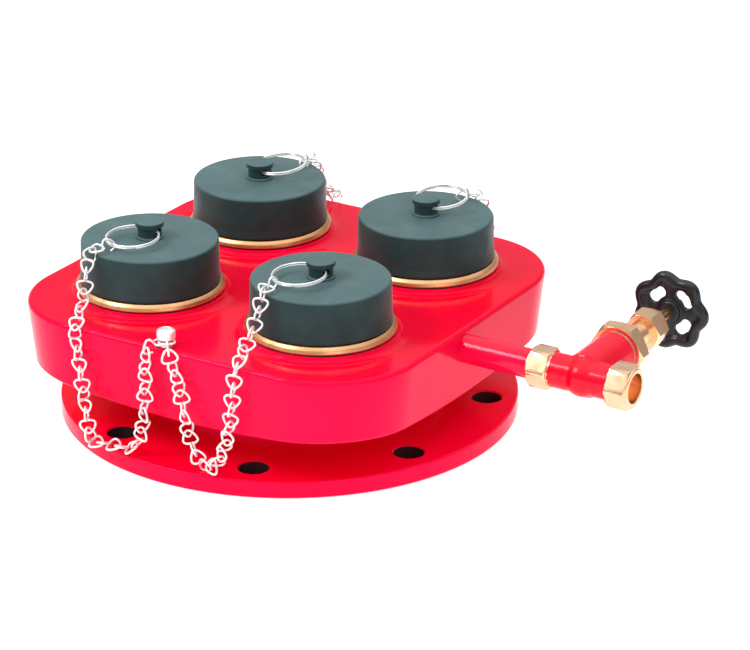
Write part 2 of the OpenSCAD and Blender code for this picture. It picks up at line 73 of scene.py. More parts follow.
# Drain
PIPE_D, DRAIN_Y, DRAIN_Z, VALVE_X = 21.3, -14, 82.4, 252.5
DRAIN_BOSS_R, DRAIN_BOSS_X = PIPE_D / 2 + 7, 133
BARREL_R, BALL_R, VALVE_BORE_R, VALVE_LIP_R, PAINTED_HALF = 12.6, 14.6, 10.7, 14.2, 23.2
INNER_HEX, OUTER_HEX = (27, 16), (29, 17)  # across the flats, and along the pipe
STEM_TILT = math.radians(1)
NECK_D, NECK_L = 33, 46
WHEEL_Z, WHEEL_R, WHEEL_RIM_R, WHEEL_LOBES, LOBE_DEPTH = 130, 31, 4.1, 7, 1.9
WHEEL_WINDOWS, WINDOW_PLACE_R, WINDOW_DRILL_R = 4, 15.6, 4.3
# Camera in degrees and metres: where it stands, where it looks, and its lens in millimetres
CAMERA_PLACE, CAMERA_REACH, CAMERA_LOOK = (32.669, 22.839), 2.4422, (31.064, 22.833)
CAMERA_ROLL, CAMERA_LENS = 0.3, 158.44


# ---------------------------------------------------------------- mesh tools

def mesh_object(name, points, faces, material, body=None, angle=35):
    """A mesh from points in millimetres, smooth except at edges sharper than angle."""
    mesh = bpy.data.meshes.new(name)
    mesh.from_pydata([tuple(np.asarray(p) * MM) for p in points], [], faces)
    mesh.validate()
    mesh.materials.append(material)
    obj = bpy.data.objects.new(name, mesh)
    bpy.context.scene.collection.objects.link(obj)
    shade(obj, angle)
    if body:
        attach(obj, body)
    return obj


def shade(obj, angle=35):
    """Smooth shading, except at edges sharper than angle."""
    obj.data.shade_smooth()
    obj.data.set_sharp_from_angle(angle=math.radians(angle))


def loft(rings, closed_ends=True):
    """Points and faces of a surface through rings that all have the same number of points."""
    count = len(rings[0])
    points = [p for ring in rings for p in ring]
    faces = [(k + i, k + (i + 1) % count, k + count + (i + 1) % count, k + count + i)
             for k in range(0, (len(rings) - 1) * count, count) for i in range(count)]
    if closed_ends:
        faces.append(tuple(reversed(range(count))))
        faces.append(tuple((len(rings) - 1) * count + i for i in range(count)))
    return points, faces


def revolve(profile, steps=128, closed=False):
    """Turns (radius, height) points about Z; a radius of 0 makes a pole, closed makes the profile a loop."""
    points, faces, rows = [], [], []
    for r, z in profile:
        if abs(r) < 1e-6:
            rows.append([len(points)] * steps)
            points.append((0, 0, z))
        else:
            rows.append(list(range(len(points), len(points) + steps)))
            points += [(r * math.cos(a), r * math.sin(a), z)
                       for a in (2 * math.pi * i / steps for i in range(steps))]
    pairs = list(zip(rows[:-1], rows[1:])) + ([(rows[-1], rows[0])] if closed else [])
    for low, high in pairs:
        for i in range(steps):
            j = (i + 1) % steps
            face = [low[i], low[j], high[j], high[i]]
            face = [v for k, v in enumerate(face) if v not in face[:k]]
            if len(face) > 2:
                faces.append(tuple(face))
    return points, faces


def rounded(corners, steps=5):
    """A (radius, height) profile whose corners are rounded: each corner is (r, z) or (r, z, fillet)."""
    out = []
    for k, corner in enumerate(corners):
        p = np.array(corner[:2], float)
        fillet = corner[2] if len(corner) > 2 else 0
        if not fillet or k in (0, len(corners) - 1):
            out.append(tuple(p))
            continue
        a = np.array(corners[k - 1][:2], float) - p
        b = np.array(corners[k + 1][:2], float) - p
        la, lb = np.linalg.norm(a), np.linalg.norm(b)
        a, b = a / la, b / lb
        half = math.acos(max(-1, min(1, a @ b))) / 2
        reach = min(fillet / math.tan(half), la * 0.98, lb * 0.98)
        radius = reach * math.tan(half)
        mid = p + (a + b) / np.linalg.norm(a + b) * (radius / math.sin(half))
        start, end = p + a * reach - mid, p + b * reach - mid
        sweep = math.atan2(start[0] * end[1] - start[1] * end[0], start @ end)
        for i in range(steps + 1):
            t = sweep * i / steps
            out.append(tuple(mid + (start[0] * math.cos(t) - start[1] * math.sin(t),
                                    start[0] * math.sin(t) + start[1] * math.cos(t))))
    return out


def tube(path, radius, sides=12, closed=False):
    """Sweeps a round wire along a path."""
    path = np.asarray(path, float)
    count = len(path)
    ahead = np.roll(path, -1, 0) if closed else np.vstack([path[1:], path[-1] * 2 - path[-2]])
    behind = np.roll(path, 1, 0) if closed else np.vstack([path[0] * 2 - path[1], path[:-1]])
    tangents = ahead - behind
    tangents /= np.linalg.norm(tangents, axis=1)[:, None]
    side = np.cross(tangents[0], (0.31, 0.62, 0.72))
    rings = []
    for i in range(count):
        side = side - tangents[i] * (side @ tangents[i])
        side /= np.linalg.norm(side)
        up = np.cross(tangents[i], side)
        rings.append([path[i] + radius * (side * math.cos(a) + up * math.sin(a))
                      for a in (2 * math.pi * k / sides for k in range(sides))])
    if not closed:
        return loft(rings)
    first, last = np.array(rings[0]), np.array(rings[-1])
    shift = min(range(sides), key=lambda s: np.abs(np.roll(first, -s, 0) - last).sum())
    rings.append(list(np.roll(first, -shift, 0)))
    return loft(rings, closed_ends=False)


def merged(parts):
    """Joins several (points, faces) into one."""
    points, faces = [], []
    for some_points, some_faces in parts:
        base = len(points)
        points += [tuple(p) for p in some_points]
        faces += [tuple(v + base for v in face) for face in some_faces]
    return points, faces


def moved(part, matrix):
    """A (points, faces) turned and shifted by a matrix."""
    points, faces = part
    return [tuple(matrix @ Vector(p)) for p in points], faces


def cylinder(radius, z0, z1, steps=96):
    return revolve([(0, z0), (radius, z0), (radius, z1), (0, z1)], steps)


def cut(target, part):
    """Cuts a closed (points, faces) out of the target."""
    cutter = mesh_object("cutter", *part, target.data.materials[0])
    modifier = target.modifiers.new("cut", "BOOLEAN")
    modifier.operation, modifier.object, modifier.solver = "DIFFERENCE", cutter, "EXACT"
    apply_modifiers(target)
    bpy.data.objects.remove(cutter)


def apply_modifiers(obj):
    """Makes what the object's modifiers show its own mesh."""
    graph = bpy.context.evaluated_depsgraph_get()
    mesh = bpy.data.meshes.new_from_object(obj.evaluated_get(graph))
    obj.modifiers.clear()
    obj.data = mesh


def join(target, other):
    """Adds another object's mesh to the target's."""
    both = bmesh.new()
    both.from_mesh(target.data)
    both.from_mesh(other.data)
    both.to_mesh(target.data)
    both.free()
    bpy.data.objects.remove(other)


def weld_smooth(obj, voxel, rounds):
    """Fuses overlapping solids and softens their joins, as in a casting."""
    remesh = obj.modifiers.new("fuse", "REMESH")
    remesh.mode, remesh.voxel_size, remesh.use_smooth_shade = "VOXEL", voxel * MM, True
    soften = obj.modifiers.new("soften", "SMOOTH")
    soften.factor, soften.iterations = 0.5, rounds
    apply_modifiers(obj)
    obj.data.shade_smooth()


def at(x, y, z=0):
    return Matrix.Translation((x, y, z))


def along_x(x):
    """Turns a piece drawn along +Z onto the drain pipe's axis."""
    return at(x, DRAIN_Y, DRAIN_Z) @ Matrix.Rotation(math.pi / 2, 4, "Y")


STEM = at(VALVE_X, DRAIN_Y, DRAIN_Z) @ Matrix.Rotation(STEM_TILT - math.pi / 2, 4, "X")


# ---------------------------------------------------------------- materials

# The Mix node's colour sockets share their names with its other sockets
COLOUR_A, COLOUR_B, COLOUR_OUT = 6, 7, 2


class Shader:
    """A Principled material whose node tree is built step by step."""

    def __init__(self, name, **sockets):
        self.material = bpy.data.materials.new(name)
        self.material.use_nodes = True
        self.nodes, self.links = self.material.node_tree.nodes, self.material.node_tree.links
        self.bsdf = self.nodes["Principled BSDF"]
        self.place = self.nodes.new("ShaderNodeTexCoord").outputs["Object"]
        for socket, value in sockets.items():
            self.bsdf.inputs[socket].default_value = value

    def node(self, kind, inputs=(), **settings):
        """A node of the tree. An input is another node's output, or a plain value."""
        made = self.nodes.new("ShaderNode" + kind)
        for key, value in settings.items():
            setattr(made, key, value)
        for socket, value in dict(inputs).items():
            if isinstance(value, bpy.types.NodeSocket):
                self.links.new(value, made.inputs[socket])
            else:
                made.inputs[socket].default_value = value
        return made

    def noise(self, scale, detail=3.0, roughness=0.5, stretch=(1, 1, 1)):
        place = self.node("Mapping", {"Vector": self.place, "Scale": stretch}).outputs["Vector"]
        return self.node("TexNoise", {"Vector": place, "Scale": scale, "Detail": detail,
                                      "Roughness": roughness}).outputs["Fac"]

    def ramp(self, factor, stops):
        """Colours along a factor, as (position, colour) stops."""
        made = self.node("ValToRGB", {"Fac": factor})
        ramp = made.color_ramp
        ramp.elements[0].position, ramp.elements[0].color = stops[0][0], (*stops[0][1], 1)
        ramp.elements[1].position, ramp.elements[1].color = stops[-1][0], (*stops[-1][1], 1)
        for position, colour in stops[1:-1]:
            ramp.elements.new(position).color = (*colour, 1)
        return made.outputs["Color"]

    def spread(self, factor, low, high, start=0.3, end=0.7):
        """Maps a factor onto a range of values."""
        return self.node("MapRange", {"Value": factor, "From Min": start, "From Max": end,
                                      "To Min": low, "To Max": high}).outputs["Result"]

    def mix(self, factor, a, b):
        """Colour a where the factor is 0, colour b where it is 1."""
        made = self.node("Mix", {"Factor": factor, COLOUR_A: a, COLOUR_B: b}, data_type="RGBA")
        return made.outputs[COLOUR_OUT]

    def math(self, operation, a, b=0.0):
        return self.node("Math", {0: a, 1: b}, operation=operation).outputs[0]

    def upward(self, start, end):
        """How far a face looks up: 0 on walls, 1 on tops."""
        normal = self.node("NewGeometry").outputs["Normal"]
        height = self.node("SeparateXYZ", {"Vector": normal}).outputs["Z"]
        return self.spread(height, 0.0, 1.0, start, end)

    def bump(self, height, distance, normal=None):
        """Small relief, its depth in millimetres, over another normal or over the mesh's own."""
        made = self.node("Bump", {"Height": height, "Distance": distance * MM})
        if normal:
            self.links.new(normal, made.inputs["Normal"])
        return made.outputs["Normal"]

    def set(self, **sockets):
        """Links outputs to the Principled node, with _ for a space in a socket's name."""
        for socket, value in sockets.items():
            self.links.new(value, self.bsdf.inputs[socket.replace("_", " ")])


def red_paint(name, coat):
    """Gloss enamel over a casting: a slightly wavy surface, with the walls painted pinker than the tops as a
    painted reflection of the white room.
    """
    s = Shader(name, **{"Coat Weight": coat, "Coat Roughness": 0.06, "Specular IOR Level": 0.12,
                        "Specular Tint": (1.0, 0.35, 0.9, 1.0)})
    cloud = s.noise(9, 2)
    side = s.ramp(cloud, [(0.3, (0.83, 0.001, 0.036)), (0.7, (0.92, 0.005, 0.062))])
    top = s.ramp(cloud, [(0.3, (0.84, 0.0, 0.020)), (0.7, (0.92, 0.001, 0.036))])
    # Walls painted pinker than tops by how far a face looks up: a painted reflection of the white room
    colour = s.mix(s.upward(0.1, 0.9), side, top)
    waves = s.bump(s.noise(22, 2), 0.35)
    skin = s.bump(s.noise(420, 2), 0.012, waves)
    s.set(Base_Color=colour, Roughness=s.spread(s.noise(60), 0.11, 0.17), Normal=skin)
    return s.material


def cap_rubber():
    """Moulded rubber with a blotchy bloom and faint flow marks, its tops painted lighter than its walls as a
    painted reflection of the bright room.
    """
    s = Shader("cap_rubber", **{"Specular IOR Level": 0.25, "Sheen Weight": 0.35, "Sheen Roughness": 0.3,
                                "Sheen Tint": (0.80, 1.0, 0.98, 1.0)})
    bloom = s.noise(38, 5, 0.6)
    fine = s.noise(500, 3)
    side = s.ramp(bloom, [(0.3, (0.011, 0.030, 0.031)), (0.55, (0.016, 0.042, 0.043)),
                          (0.75, (0.026, 0.056, 0.057))])
    top = s.ramp(bloom, [(0.3, (0.054, 0.104, 0.108)), (0.55, (0.066, 0.122, 0.126)),
                         (0.75, (0.084, 0.144, 0.147))])
    # Tops painted lighter than walls by how far a face looks up: a painted reflection of the bright room
    colour = s.mix(s.upward(0.2, 0.9), side, top)
    s.set(Base_Color=colour, Roughness=s.spread(s.noise(70, 4), 0.42, 0.6),
          Normal=s.bump(fine, 0.03, s.bump(s.noise(45, 3), 0.12)))
    return s.material


def metal(name, dark, light, rough, brush=(1, 1, 1), grain=240, shine=1.0):
    """Turned or drawn metal: colour and gloss vary along fine marks."""
    s = Shader(name, Metallic=shine)
    marks = s.noise(grain, 3, 0.6, brush)
    tarnish = s.noise(60, 4)
    colour = s.ramp(tarnish, [(0.3, dark), (0.7, light)])
    s.set(Base_Color=colour, Roughness=s.spread(marks, *rough), Normal=s.bump(marks, 0.02))
    return s.material


def valve_skin():
    """The drain valve's casting: red paint between two bare gunmetal ends."""
    s = Shader("valve_skin", **{"Specular IOR Level": 0.12, "Coat Roughness": 0.06})
    x = s.node("SeparateXYZ", {"Vector": s.place}).outputs["X"]
    from_middle = s.math("ABSOLUTE", s.math("SUBTRACT", x, VALVE_X * MM))
    wobble = s.spread(s.noise(300, 2), -0.6 * MM, 0.6 * MM)
    painted = s.math("LESS_THAN", s.math("ADD", from_middle, wobble), PAINTED_HALF * MM)
    red = s.ramp(s.noise(40, 2), [(0.3, (0.74, 0.0, 0.018)), (0.7, (0.85, 0.0, 0.030))])
    bare = s.ramp(s.noise(60, 3), [(0.3, (0.96, 0.56, 0.33)), (0.7, (1.0, 0.70, 0.48))])
    s.set(Base_Color=s.mix(painted, bare, red), Metallic=s.math("SUBTRACT", 1.0, painted),
          Coat_Weight=s.math("MULTIPLY", painted, 0.25),
          Roughness=s.spread(s.noise(160, 3), 0.2, 0.28), Normal=s.bump(s.noise(60, 2), 0.04))
    return s.material


def black_enamel():
    """The handwheel's dipped enamel."""
    s = Shader("black_enamel", **{"Coat Weight": 0.25, "Coat Roughness": 0.15, "Specular IOR Level": 0.3})
    colour = s.ramp(s.noise(50, 3), [(0.3, (0.003, 0.006, 0.008)), (0.7, (0.008, 0.012, 0.014))])
    s.set(Base_Color=colour, Roughness=s.spread(s.noise(90, 3), 0.28, 0.42),
          Normal=s.bump(s.noise(180, 3), 0.15))
    return s.material


def plain(name, dark, light, rough=0.7, grain=300):
    """A dull surface with a fine grain."""
    s = Shader(name)
    s.set(Base_Color=s.ramp(s.noise(grain, 4), [(0.3, dark), (0.7, light)]),
          Roughness=s.spread(s.noise(grain / 2), rough - 0.1, rough + 0.1),
          Normal=s.bump(s.noise(grain * 2, 3), 0.03))
    return s.material


# ---------------------------------------------------------------- casting

def square_outline(half, radius, arc_steps=28, side_steps=26):
    """Points round a square with round corners, each with the direction that points out of it."""
    out = []
    for quarter in range(4):
        turn = quarter * math.pi / 2
        c, s = math.cos(turn), math.sin(turn)
        local = [((half, -(half - radius) + 2 * (half - radius) * i / side_steps), (1, 0))
                 for i in range(side_steps)]
        local += [((half - radius + radius * math.cos(a), half - radius + radius * math.sin(a)),
                   (math.cos(a), math.sin(a)))
                  for a in (math.pi / 2 * i / arc_steps for i in range(arc_steps))]
        out += [(np.array((c * p[0] - s * p[1], s * p[0] + c * p[1])),
                 np.array((c * n[0] - s * n[1], s * n[0] + c * n[1]))) for p, n in local]
    return out


def cone_z(xy, mid_z):
    """Height of the shallow cone under the chamber."""
    return mid_z + (np.linalg.norm(xy) - BODY_W / 2) * UNDERSIDE_SLOPE


def chamber(half, radius, top, floor_mid, edge, low_edge, neck_r, neck_bottom, extra_low=()):
    """Rings of a drafted square chamber whose cone-shaped underside runs into a round neck."""
    outline = square_outline(half, radius)
    rings = []

    def ring(inset, z):
        rings.append([(*(p - n * inset), z) for p, n in outline])

    for i in range(7):
        a = math.pi / 2 * (1 - i / 6)
        ring(edge * (1 - math.cos(a)), top - edge * (1 - math.sin(a)))
    wall_top = top - edge
    walls = []
    for p, n in outline:
        inset = (wall_top - floor_mid) * DRAFT
        for _ in range(4):  # the wall's foot follows the cone, which rises with the inset
            inset = (wall_top - cone_z(p - n * inset, floor_mid)) * DRAFT
        walls.append((p - n * inset, n, cone_z(p - n * inset, floor_mid)))
    for share in (0.25, 0.5, 0.75):
        rings.append([(*(p * (1 - share) + w * share), wall_top + (z + low_edge - wall_top) * share)
                      for (p, _), (w, _, z) in zip(outline, walls)])
    for i in range(6):
        a = math.pi / 2 * i / 5
        rings.append([(*(w - n * low_edge * (1 - math.cos(a))), z + low_edge * (1 - math.sin(a)))
                      for w, n, z in walls])
    for share in (0.12, 0.3, 0.5, 0.7, 0.85):
        spot = []
        for w, n, _ in walls:
            start = w - n * low_edge
            goal = start / np.linalg.norm(start) * (neck_r + NECK_FILLET)
            xy = start * (1 - share) + goal * share
            spot.append((*xy, cone_z(xy, floor_mid)))
        rings.append(spot)
    directions = [(w - n * low_edge) / np.linalg.norm(w - n * low_edge) for w, n, _ in walls]
    foot = cone_z(directions[0] * (neck_r + NECK_FILLET), floor_mid)
    for i in range(7):
        a = math.pi / 2 * i / 6
        r = neck_r + NECK_FILLET * (1 - math.sin(a))
        rings.append([(*(d * r), foot - NECK_FILLET * (1 - math.cos(a))) for d in directions])
    for r, z in ((neck_r, neck_bottom), *extra_low):
        rings.append([(*(d * r), z) for d in directions])
    return [list(reversed(r)) for r in rings]


def casting_shell(material):
    """The casting's outside less its chamber, whose roof keeps a boss round each inlet and the drain."""
    neck_r = OUTLET_D / 2 + NECK_WALL
    fillet = [(neck_r + FLANGE_FILLET * (1 - math.cos(a)), FLANGE_T + FLANGE_FILLET * (1 - math.sin(a)))
              for a in (math.pi / 2 * i / 6 for i in range(7))]
    flange = rounded([(neck_r + FLANGE_FILLET, FLANGE_T), (FLANGE_D / 2, FLANGE_T, 1.6),
                      (FLANGE_D / 2, 0, 1.2), (neck_r, 0)], 4)
    outside = chamber(BODY_W / 2, CORNER_R, BODY_TOP, UNDERSIDE_Z, EDGE_R, 2.5, neck_r, FLANGE_T + 8,
                      [*fillet, *flange[1:]])
    casting = mesh_object("casting_body", *loft(outside), material)

    inside = chamber(BODY_W / 2 - WALL, CORNER_R - WALL, BODY_TOP - WALL, UNDERSIDE_Z + WALL, 4, 4,
                     OUTLET_D / 2, 10, [(OUTLET_D / 2, -1)])
    hollow = mesh_object("hollow", *loft(inside), material)
    for x, y in INLETS.values():
        cut(hollow, moved(cylinder(THREAD_D / 2 + THREAD_WALL, THREAD_Z + 1, BODY_TOP + 4, 72), at(x, y)))
    cut(hollow, moved(cylinder(DRAIN_BOSS_R, 0, 40, 48), along_x(DRAIN_BOSS_X)))
    points = [tuple(v.co / MM) for v in hollow.data.vertices]
    faces = [tuple(p.vertices) for p in hollow.data.polygons]
    bpy.data.objects.remove(hollow)
    cut(casting, (points, faces))
    return casting


def bolt_places():
    """Centres of the flange's bolt holes."""
    angles = [2 * math.pi * (i + 0.5) / BOLT_COUNT for i in range(BOLT_COUNT)]
    return [(BOLT_CIRCLE_D / 2 * math.cos(a), BOLT_CIRCLE_D / 2 * math.sin(a)) for a in angles]


def drill_casting(casting):
    """Cuts the inlets, the bolt holes with their chamfers, and the drain."""
    inlet_bore = cylinder(THREAD_D / 2, THREAD_Z - 6, BODY_TOP + 8, 96)
    r, top = BOLT_HOLE_D / 2, FLANGE_T + 1
    drill = revolve([(0, -1), (r + 2, -1), (r, 1), (r, top - 2), (r + 2, top), (0, top)], 48)
    holes = [moved(inlet_bore, at(x, y)) for x, y in INLETS.values()]
    holes += [moved(drill, at(x, y)) for x, y in bolt_places()]
    holes.append(moved(cylinder(PIPE_D / 2, 0, 30, 48), along_x(DRAIN_BOSS_X - 6)))
    cut(casting, merged(holes))


def make_casting(material, bare):
    """The painted casting, with a dark material inside its bolt holes as painted shade."""
    casting = casting_shell(material)
    drill_casting(casting)

    rise = SEAT_Z - 0.7 - BODY_TOP
    cove = [(SEAT_R + SEAT_COVE * (1 - math.sin(a)), BODY_TOP - 0.03 + rise * (1 - math.cos(a)))
            for a in (math.pi / 2 * i / 12 for i in range(12))]
    seat = [(THREAD_D / 2, BODY_TOP - 3), (SEAT_R + SEAT_COVE, BODY_TOP - 0.4), *cove, (SEAT_R, SEAT_Z - 0.7),
            (SEAT_R - 0.2, SEAT_Z - 0.2), (SEAT_R - 0.7, SEAT_Z), (THREAD_D / 2, SEAT_Z)]
    seats = merged([moved(revolve(seat, 160, closed=True), at(x, y)) for x, y in INLETS.values()])
    join(casting, mesh_object("seats", *seats, material))
    shade(casting, 32)
    weight = casting.modifiers.new("weighted", "WEIGHTED_NORMAL")
    weight.keep_sharp, weight.weight = True, 60

    # The bolt holes' bores take the second, dark material: painted shade in the holes
    casting.data.materials.append(bare)
    places = bolt_places()
    for face in casting.data.polygons:
        *spot, z = face.center / MM
        aside = min(math.dist(spot, place) for place in places)
        if z < FLANGE_T - 0.9 and aside < BOLT_HOLE_D / 2 + 0.6:
            face.material_index = 1
    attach(casting, "casting")
    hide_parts("manifold_body")


# ---------------------------------------------------------------- inlets and caps

def make_inlets(gunmetal):
    """Turned adaptors: thread, rim and grooved hose end, with the spider that guides the valve's stem."""
    groove = HOSE_TOP - 9
    thread_r = THREAD_D / 2 - 0.05
    corners = [(BORE_R, THREAD_Z, 0.5), (thread_r, THREAD_Z, 1), (thread_r, RIM_Z), (RIM_R - 1, RIM_Z, 0.4),
               (RIM_R, RIM_Z + 1.0, 0.9), (RIM_R - 0.7, RIM_Z + 3.4, 3), (RIM_R - 2.6, RIM_Z + RIM_T, 1.2),
               (HOSE_R, RIM_Z + RIM_T, 0.6), (HOSE_R, groove, 0.3), (HOSE_R - 2.5, groove, 0.5),
               (HOSE_R - 2.5, groove + 5, 0.5), (HOSE_R, groove + 5, 0.4), (HOSE_R, HOSE_TOP, 1.2),
               (BORE_R + 1.5, HOSE_TOP, 0.6), (BORE_R, HOSE_TOP - 2, 0.5), (BORE_R, THREAD_Z)]
    shell = revolve(rounded(corners, 4), 160)
    low, high = SPIDER_Z, SPRING_FOOT_Z
    hub = revolve([(GUIDE_R, low), (7.5, low), (8, low + 0.5), (8, high - 0.5), (7.5, high), (GUIDE_R, high)],
                  40, closed=True)
    arm = ([(x, y, z) for z in (low, high) for x, y in ((6, -2), (BORE_R + 1, -2), (BORE_R + 1, 2), (6, 2))],
           [(3, 2, 1, 0), (4, 5, 6, 7), (0, 1, 5, 4), (1, 2, 6, 5), (2, 3, 7, 6), (3, 0, 4, 7)])
    for name, (x, y) in INLETS.items():
        turn = 0 if y < 0 else math.pi
        arms = [moved(arm, Matrix.Rotation(math.radians(angle) + turn, 4, "Z")) for angle in (90, 210, 330)]
        part = moved(merged([shell, hub, *arms]), at(x, y))
        inlet = mesh_object("inlet_" + name, *part, gunmetal, "casting")
        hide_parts("inlet_adaptor_" + name)


def make_cap(name, rubber):
    """A moulded cap, open below, with a cross-drilled knob for its ring."""
    x, y = INLETS[name]
    inner = [(0, CAP_H - CAP_TOP_T), (CAP_BORE_R, CAP_H - CAP_TOP_T, 1.5), (CAP_BORE_R, 1.5),
             (CAP_BORE_R + 0.6, 0)]
    outer = [(CAP_R + CAP_FLARE, 0, 1.0), (CAP_R + CAP_FLARE - 0.2, 2.2, 2.0), (CAP_R + 0.6, 6, 3),
             (CAP_R, CAP_H, 2.2)]
    knob_top = CAP_H + KNOB_H
    knob = [(KNOB_NECK_R + 1.6, CAP_H, 0.5), (KNOB_NECK_R + 1.4, CAP_H + 1.1, 0.5),
            (KNOB_NECK_R, CAP_H + 1.7, 0.5), (KNOB_NECK_R, knob_top - 4.4, 1.0),
            (KNOB_R - 0.2, knob_top - 3.4, 0.5), (KNOB_R, knob_top, 0.8), (0, knob_top - 0.3)]
    profile = rounded([*inner, *outer, *knob], 5)
    cap = mesh_object("cap_moulding_" + name, *moved(revolve(profile, 160), at(x, y, CAP_Z)), rubber)
    dx, dy = RING_DIRS[name]
    turn = Matrix.Rotation(math.atan2(dy, dx), 4, "Z") @ Matrix.Rotation(math.pi / 2, 4, "X")
    cut(cap, moved(cylinder(KNOB_HOLE_R, -20, 20, 32), at(x, y, CAP_TOP + KNOB_HOLE_Z) @ turn))
    shade(cap, 30)
    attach(cap, "cap_" + name)
    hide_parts("cap_" + name)


def make_ring(name, zinc):
    """Split ring: a wire wound twice, whose turns cross over once."""
    turns, steps, start = 2.06, 150, 0.9
    path = []
    for i in range(steps):
        turned = turns * i / (steps - 1)
        a = 2 * math.pi * turned + start
        crossed = min(1, max(0, (turned - 0.93) / 0.14))  # 0 before the wire steps over, 1 after
        path.append((RING_R * math.cos(a), RING_R * math.sin(a),
                     RING_WIRE * (crossed * crossed * (3 - 2 * crossed) - 0.5)))
    x, y = INLETS[name]
    dx, dy = RING_DIRS[name]
    lift = 3.4 if y < 0 else -7  # degrees that the ring leans out of level
    place = (at(x, y, CAP_TOP + KNOB_HOLE_Z) @ Matrix.Rotation(math.atan2(dy, dx), 4, "Z")
             @ Matrix.Rotation(math.radians(lift), 4, "Y") @ at(RING_OFFSET, 0))
    ring = mesh_object("ring_" + name, *moved(tube(path, RING_WIRE / 2, 12), place), zinc, "cap_" + name, 60)
    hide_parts("split_ring_" + name)


# ---------------------------------------------------------------- chains

# From the screw down the wall, along the lowest point, up again and over the cap to its ring
ROUTE_LEFT = [
    (-10.2, -152.3, 99.7), (-13.8, -157, 99), (-16.2, -161.5, 94), (-16.3, -162.5, 86), (-16.3, -162.5, 76),
    (-16.6, -162.5, 66), (-17.3, -162.5, 56), (-18.5, -162.5, 46), (-20, -162.5, 35), (-22, -163, 26),
    (-27, -163.2, 18.5), (-34, -163.3, 16.3), (-42, -163.3, 16.2), (-50, -163.3, 16.2), (-57, -163.3, 15),
    (-62.5, -163.3, 14), (-65.8, -163.3, 19), (-67.3, -163, 28), (-69, -162.5, 38), (-70, -162.5, 47),
    (-71.5, -162.5, 58), (-73, -162.5, 69), (-74, -162.5, 79), (-76, -162.5, 89), (-77.5, -161, 98),
    (-79, -155, 104), (-81.5, -147, 108), (-85, -139, 113.5), (-87.5, -133, 121), (-88.5, -130, 129),
    (-89.3, -127, 137), (-88.5, -121, 142.5), (-86, -116, 143), (-82.5, -111.5, 143)]
ROUTE_RIGHT = [
    (-4.5, -152.5, 101.6), (-0.8, -157, 100.8), (2.8, -161, 96.5), (6, -162.3, 90), (9.5, -162.5, 83),
    (12, -162.5, 74), (14.5, -162.5, 65), (16, -162.5, 56), (17.5, -162.5, 47), (20, -162.5, 39),
    (22.5, -162.5, 32), (26, -162, 24), (30, -162, 18.5), (37, -161.6, 17.5), (43, -162, 22),
    (47, -162, 31), (50.5, -162.5, 39), (53, -162.5, 48), (54.8, -162.5, 58), (56, -162.5, 68),
    (57, -162.5, 78), (58, -162.5, 88), (59, -161.5, 97), (59, -156, 104), (58, -149, 107),
    (57, -142, 112), (56.8, -135.5, 119), (58, -132, 127), (58.8, -129, 136), (57.5, -123.5, 142),
    (55.5, -117, 143), (56.5, -110, 143.2)]


def loop_path(width, height, steps=22):
    """One loop of a chain link: a rounded heart whose point faces along +X."""
    a = 2 * math.pi * (np.arange(steps) + 0.5) / steps
    return np.stack([height / 2 * (np.cos(a) + 0.12 * np.cos(2 * a)),
                     width / 2 * np.sin(a) * (1 - 0.26 * np.cos(a))], 1)


def smooth_route(route):
    """A route's corners softened, at 600 even steps of its length: the steps and the points."""
    points = np.array(route, float)
    lengths = np.concatenate([[0], np.cumsum(np.linalg.norm(np.diff(points, axis=0), axis=1))])
    fine = np.linspace(0, lengths[-1], 600)
    smooth = np.stack([np.interp(fine, lengths, points[:, k]) for k in range(3)], 1)
    for _ in range(60):
        smooth[1:-1] = (smooth[:-2] + 2 * smooth[1:-1] + smooth[2:]) / 4
    return fine, smooth


def make_chain(name, route, half_turn, zinc):
    """Jack chain along its route: each link is two wire loops at about right angles."""
    rng = random.Random(sum(map(ord, name)))
    fine, smooth = smooth_route(route)
    length = fine[-1]
    links = round((length + LINK_GAP) / (LINK_STEP + LINK_GAP))
    scale = length / (links * (LINK_STEP + LINK_GAP) - LINK_GAP)
    last = links * 2 - 1
    outline = loop_path(LINK_W, LINK_H)

    def spot(s):
        return np.array([np.interp(s, fine, smooth[:, k]) for k in range(3)])

    parts = []
    for k in range(last + 1):
        second = k % 2  # 0 for a link's first loop, 1 for its second
        s = scale * (k // 2 * (LINK_STEP + LINK_GAP) + second * LINK_STEP)
        centre = spot(s)
        along = spot(min(s + 4, length)) - spot(max(s - 4, 0))
        along /= np.linalg.norm(along)
        outward = np.array([0, -1, 1.0]) if 2 < k < last - 2 else np.array([0, 0, 1.0])
        across = np.cross(along, outward)
        across /= np.linalg.norm(across)
        loose = min(k, last - k, 4) / 4  # the end links hold still, the others hang askew
        if not second:
            twist = rng.uniform(-26, 26) * loose
        hanging = 90 * second + 6 * loose + twist + rng.uniform(-5, 5)
        flat = 23 + 44 * second
        lying = min(1, max(0, (34 - centre[2]) / 14))  # the lowest links lie over flat
        roll = math.radians(hanging * (1 - lying) + flat * lying)
        side = across * math.cos(roll) + np.cross(along, across) * math.sin(roll)
        facing = 1 if second else -1
        path = centre + np.outer(outline[:, 0] * facing, along) + np.outer(outline[:, 1], side)
        parts.append(tube(path, CHAIN_WIRE_R, 8, closed=True))
    part = merged(parts)
    if half_turn:
        part = moved(part, Matrix.Rotation(math.pi, 4, "Z"))
    chain = mesh_object("chain_links_" + name, *part, zinc, angle=70)
    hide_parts("chain_" + name)
    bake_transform(chain)


